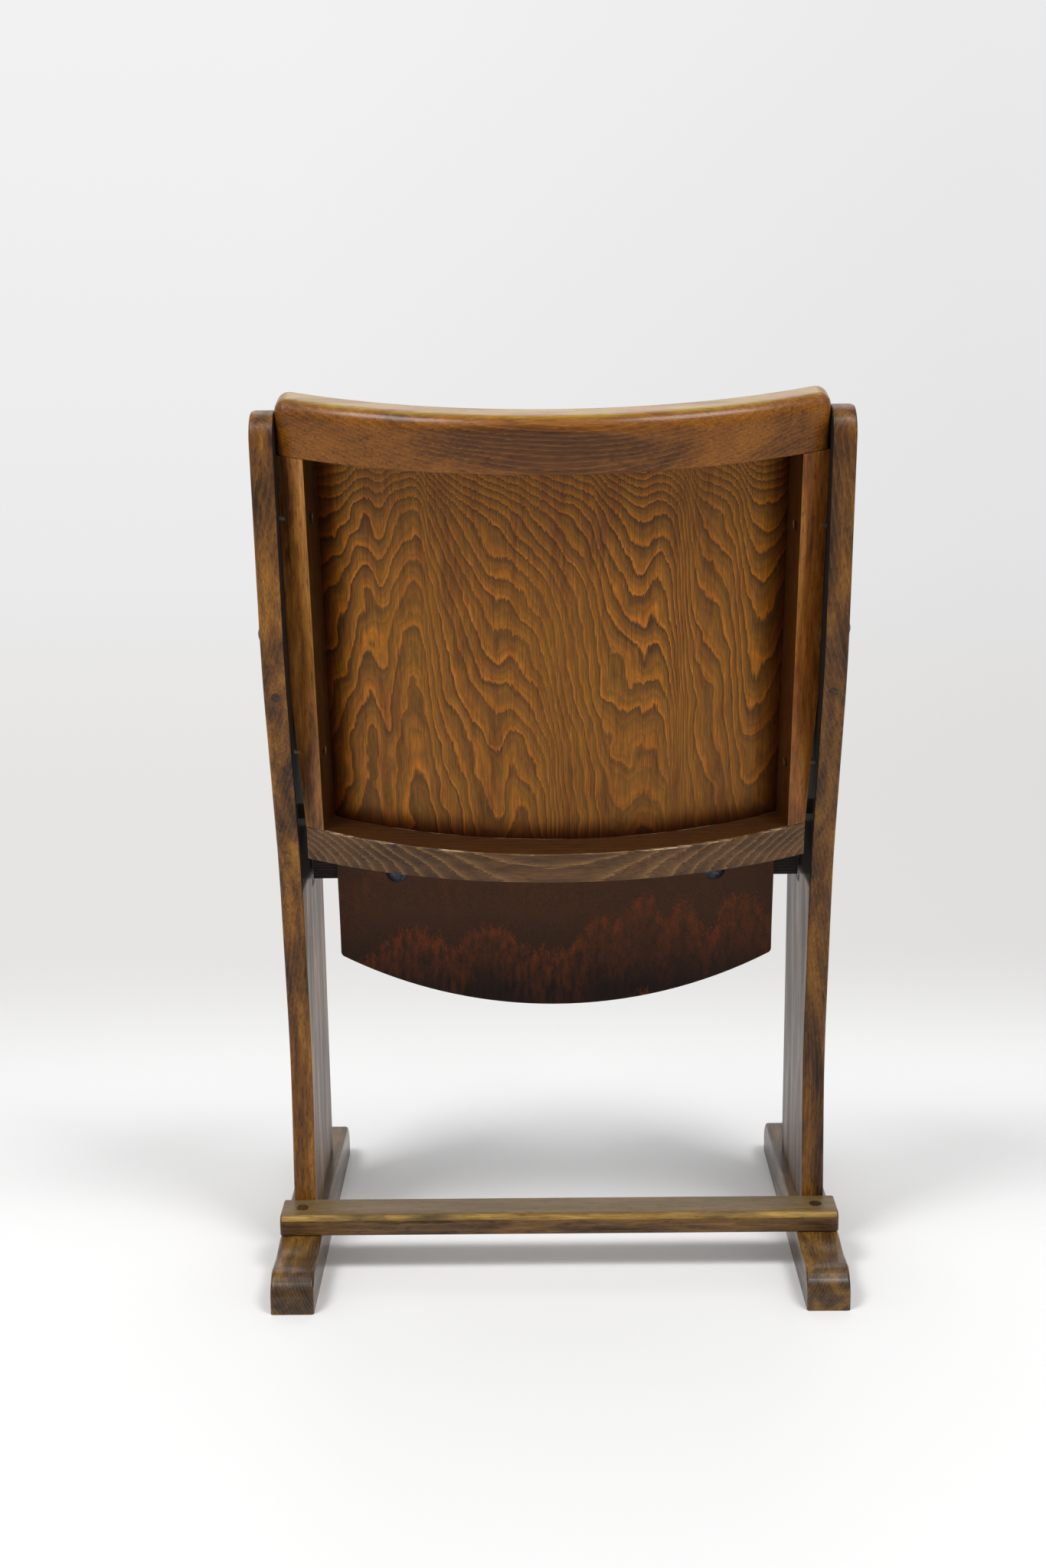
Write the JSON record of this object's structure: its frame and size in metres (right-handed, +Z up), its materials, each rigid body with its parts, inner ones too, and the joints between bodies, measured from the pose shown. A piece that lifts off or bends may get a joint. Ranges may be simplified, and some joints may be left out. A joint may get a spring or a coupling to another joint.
{
  "type": "tip up auditorium seat",
  "caption": "Free-standing tip-up auditorium seat in stained beech: side boards on sled feet, bowed back frame with a plywood panel, and a plywood seat that turns on pins",
  "frame": {"origin": "On the floor, under the middle of the whole seat's bounding box at rest.", "axes": "+Z up. +Y to the rear, so the sitter faces -Y. +X to the sitter's left. Rest is the seat tipped up."},
  "size_m": [0.56, 0.476, 0.877],
  "materials": {
    "stained_beech": "dark walnut stain under worn satin varnish",
    "dark_plug_wood": "dark stained end grain",
    "bare_beech": "bare beech",
    "frame_beech": "brown stained beech, matt",
    "black_stained_beech": "black stain, matt",
    "back_plywood": "orange-brown varnished plywood",
    "seat_plywood": "dark red-brown varnished plywood, satin",
    "bright_steel": "dull bright steel",
    "dark_steel": "aged blue-grey steel",
    "black_iron": "black",
    "stop_rubber": "matt black rubber"
  },
  "bodies": {
    "stand": {"foot_left": "stained_beech", "foot_right": "stained_beech", "side_board_left": "stained_beech", "side_board_right": "stained_beech", "foot_crossbar": "stained_beech", "back_top_rail": "stained_beech", "back_bottom_rail": "stained_beech", "back_stile_left": "stained_beech", "back_stile_right": "stained_beech", "crossbar_plugs": "dark_plug_wood", "edge_plugs": "dark_plug_wood", "foot_dowels": "bare_beech", "back_frame_dowels": "bare_beech", "stop_block_left": "frame_beech", "stop_block_right": "frame_beech", "back_panel": "back_plywood", "crossbar_screws": "bright_steel", "back_frame_screws": "bright_steel", "pivot_plate_screws": "bright_steel", "stop_block_screws": "bright_steel", "up_stop_pegs": "bright_steel", "back_bolts": "dark_steel", "pivot_plate_left": "black_iron", "pivot_plate_right": "black_iron", "stop_pad_left": "stop_rubber", "stop_pad_right": "stop_rubber", "up_stop_sleeves": "stop_rubber"},
    "seat": {"seat_bearer_left": "frame_beech", "seat_bearer_right": "frame_beech", "seat_front_batten": "frame_beech", "seat_beam": "black_stained_beech", "seat_panel": "seat_plywood", "seat_screws": "bright_steel", "pivot_pin_left": "bright_steel", "pivot_pin_right": "bright_steel", "seat_bolt_nuts": "bright_steel", "seat_bolt_washers": "bright_steel", "pivot_washers": "bright_steel", "seat_bolts": "dark_steel"}
  },
  "joints": [
    {"name": "seat_tip", "type": "hinge", "parent": "stand", "child": "seat", "pos_m": [0, -0.0335, 0.404], "axis": [1, 0, 0], "range_deg": [0, 93]}
  ]
}
